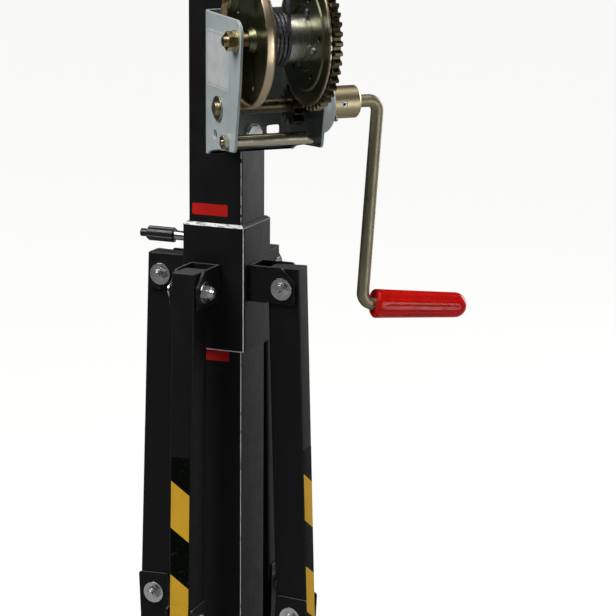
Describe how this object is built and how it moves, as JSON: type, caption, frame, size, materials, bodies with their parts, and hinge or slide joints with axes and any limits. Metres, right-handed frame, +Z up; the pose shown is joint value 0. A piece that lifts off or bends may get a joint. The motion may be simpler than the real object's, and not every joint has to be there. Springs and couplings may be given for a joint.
{
  "type": "wind-up lifting stand",
  "caption": "Hand-winched telescopic lifting stand: square steel mast, folding legs on a clamped sliding sleeve, braked drum winch with crank, and a load spigot on top.",
  "frame": {"origin": "centre of the underside of the mast foot, on the floor when folded", "axes": "+Z up along the mast, -Y the front face of the mast, +X the right; the winch faces the front right corner, halfway between -Y and +X"},
  "size_m": [0.3448, 0.2911, 1.6159],
  "materials": {
    "black_paint": "satin black paint",
    "winch_grey": "smooth grey paint",
    "zinc_clear": "bright zinc plate",
    "zinc_yellow": "yellow passivated zinc",
    "plain_steel": "turned steel",
    "friction": "friction lining",
    "wire_rope": "greased wire rope",
    "black_plastic": "moulded black",
    "black_rubber": "rubber",
    "red_plastic": "glossy red",
    "brass": "turned brass"
  },
  "bodies": {
    "mast": {"outer_mast": "black_paint", "mast_foot": "black_paint", "strut_brackets": "black_paint", "strut_bolts": "zinc_clear", "head_glide": "black_plastic", "head_bracket": "black_paint", "pulley_axle": "zinc_clear", "winch_bracket": "black_paint", "winch_bolts": "zinc_clear", "winch_frame": "winch_grey", "drum_axle": "zinc_yellow", "axle_spacers": "zinc_yellow", "tie_rod": "zinc_yellow", "pinion_cap": "zinc_clear", "brake_cover": "winch_grey", "cover_screws": "zinc_clear", "pawl_pin": "plain_steel", "hoist_wire": "wire_rope", "lift_wire": "wire_rope"},
    "head_pulley": {"head_pulley": "zinc_clear"},
    "drum": {"drum_core": "plain_steel", "drum_flange_left": "zinc_yellow", "drum_flange_right": "zinc_yellow", "drum_gear": "zinc_yellow", "flange_screws": "zinc_clear", "wire_coil": "wire_rope"},
    "crank": {"pinion_shaft": "zinc_yellow", "ratchet_wheel": "plain_steel", "friction_discs": "friction", "crank_hub": "zinc_yellow", "crank_arm": "zinc_yellow", "hub_screw": "zinc_clear"},
    "pawl": {"ratchet_pawl": "plain_steel"},
    "grip": {"grip": "red_plastic"},
    "sleeve": {"sleeve": "black_paint", "leg_brackets": "black_paint", "leg_bolts": "zinc_clear", "clamp_nut": "black_paint"},
    "clamp_pad": {"clamp_pad": "brass"},
    "clamp": {"clamp_screw": "zinc_clear", "clamp_knob": "black_plastic"},
    "inner_mast": {"inner_mast": "black_paint", "inner_shoe": "black_plastic", "top_spigot": "zinc_clear"},
    "leg_front": {"leg_front": "black_paint", "foot_front": "black_rubber"},
    "strut_front": {"strut_front": "black_paint", "bolt_front": "zinc_clear"},
    "leg_right": {"leg_right": "black_paint", "foot_right": "black_rubber"},
    "strut_right": {"strut_right": "black_paint", "bolt_right": "zinc_clear"},
    "leg_back": {"leg_back": "black_paint", "foot_back": "black_rubber"},
    "strut_back": {"strut_back": "black_paint", "bolt_back": "zinc_clear"},
    "leg_left": {"leg_left": "black_paint", "foot_left": "black_rubber"},
    "strut_left": {"strut_left": "black_paint", "bolt_left": "zinc_clear"}
  },
  "joints": [
    {"name": "crank_turn", "type": "hinge", "parent": "mast", "child": "crank", "pos_m": [0.1148, -0.02995, 0.89737], "axis": [-0.7071, -0.7071, 0], "range_deg": [0, 9720]},
    {"name": "drum_turn", "type": "hinge", "parent": "mast", "child": "drum", "pos_m": [0.10677, -0.10677, 0.9695], "axis": [0.7071, 0.7071, 0], "range_deg": [0, 2538]},
    {"name": "pulley_turn", "type": "hinge", "parent": "mast", "child": "head_pulley", "pos_m": [0.04554, -0.04554, 1.505], "axis": [0.7071, 0.7071, 0], "range_deg": [0, 2276]},
    {"name": "mast_lift", "type": "slide", "parent": "mast", "child": "inner_mast", "axis": [0, 0, 1], "range_m": [0, 1.1128], "deforming": ["lift_wire"]},
    {"name": "grip_spin", "type": "hinge", "parent": "crank", "child": "grip", "pos_m": [0.1921, 0.04735, 0.68273], "axis": [0.704, 0.704, -0.0941], "continuous": true},
    {"name": "pawl_drop", "type": "hinge", "parent": "mast", "child": "pawl", "pos_m": [0.11904, -0.04409, 0.91937], "axis": [-0.7071, -0.7071, 0], "range_deg": [0, 9]},
    {"name": "sleeve_slide", "type": "slide", "parent": "mast", "child": "sleeve", "axis": [0, 0, -1], "range_m": [0, 0.38702]},
    {"name": "clamp_turn", "type": "hinge", "parent": "clamp_pad", "child": "clamp", "pos_m": [-0.06, 0, 0.743], "axis": [-1, 0, 0], "range_deg": [0, 722]},
    {"name": "clamp_travel", "type": "slide", "parent": "sleeve", "child": "clamp_pad", "axis": [-1, 0, 0], "range_m": [0, 0.003]},
    {"name": "leg_front_fold", "type": "hinge", "parent": "sleeve", "child": "leg_front", "pos_m": [-0.0085, -0.073, 0.702], "axis": [-1, 0, 0], "range_deg": [0, 56.27]},
    {"name": "strut_front_fold", "type": "hinge", "parent": "mast", "child": "strut_front", "pos_m": [-0.0085, -0.07, 0.03], "axis": [1, 0, 0], "range_deg": [0, 69.73]},
    {"name": "leg_right_fold", "type": "hinge", "parent": "sleeve", "child": "leg_right", "pos_m": [0.073, -0.0085, 0.702], "axis": [0, -1, 0], "range_deg": [0, 56.27]},
    {"name": "strut_right_fold", "type": "hinge", "parent": "mast", "child": "strut_right", "pos_m": [0.07, -0.0085, 0.03], "axis": [0, 1, 0], "range_deg": [0, 69.73]},
    {"name": "leg_back_fold", "type": "hinge", "parent": "sleeve", "child": "leg_back", "pos_m": [0.0085, 0.073, 0.702], "axis": [1, 0, 0], "range_deg": [0, 56.27]},
    {"name": "strut_back_fold", "type": "hinge", "parent": "mast", "child": "strut_back", "pos_m": [0.0085, 0.07, 0.03], "axis": [-1, 0, 0], "range_deg": [0, 69.73]},
    {"name": "leg_left_fold", "type": "hinge", "parent": "sleeve", "child": "leg_left", "pos_m": [-0.073, 0.0085, 0.702], "axis": [0, 1, 0], "range_deg": [0, 56.27]},
    {"name": "strut_left_fold", "type": "hinge", "parent": "mast", "child": "strut_left", "pos_m": [-0.07, 0.0085, 0.03], "axis": [0, -1, 0], "range_deg": [0, 69.73]}
  ],
  "couplings": [
    {"joint": "drum_turn", "follows": "crank_turn", "ratio": 0.26087},
    {"joint": "pulley_turn", "follows": "crank_turn", "ratio": 0.23385},
    {"joint": "mast_lift", "follows": "crank_turn", "m_per_rad": 0.0065478},
    {"joint": "clamp_turn", "follows": "clamp_travel", "rad_per_m": 4188.8},
    {"joint": "leg_front_fold", "follows": "sleeve_slide", "rad_per_m": 2.5367},
    {"joint": "strut_front_fold", "follows": "sleeve_slide", "rad_per_m": 3.1436},
    {"joint": "leg_right_fold", "follows": "sleeve_slide", "rad_per_m": 2.5367},
    {"joint": "strut_right_fold", "follows": "sleeve_slide", "rad_per_m": 3.1436},
    {"joint": "leg_back_fold", "follows": "sleeve_slide", "rad_per_m": 2.5367},
    {"joint": "strut_back_fold", "follows": "sleeve_slide", "rad_per_m": 3.1436},
    {"joint": "leg_left_fold", "follows": "sleeve_slide", "rad_per_m": 2.5367},
    {"joint": "strut_left_fold", "follows": "sleeve_slide", "rad_per_m": 3.1436}
  ]
}
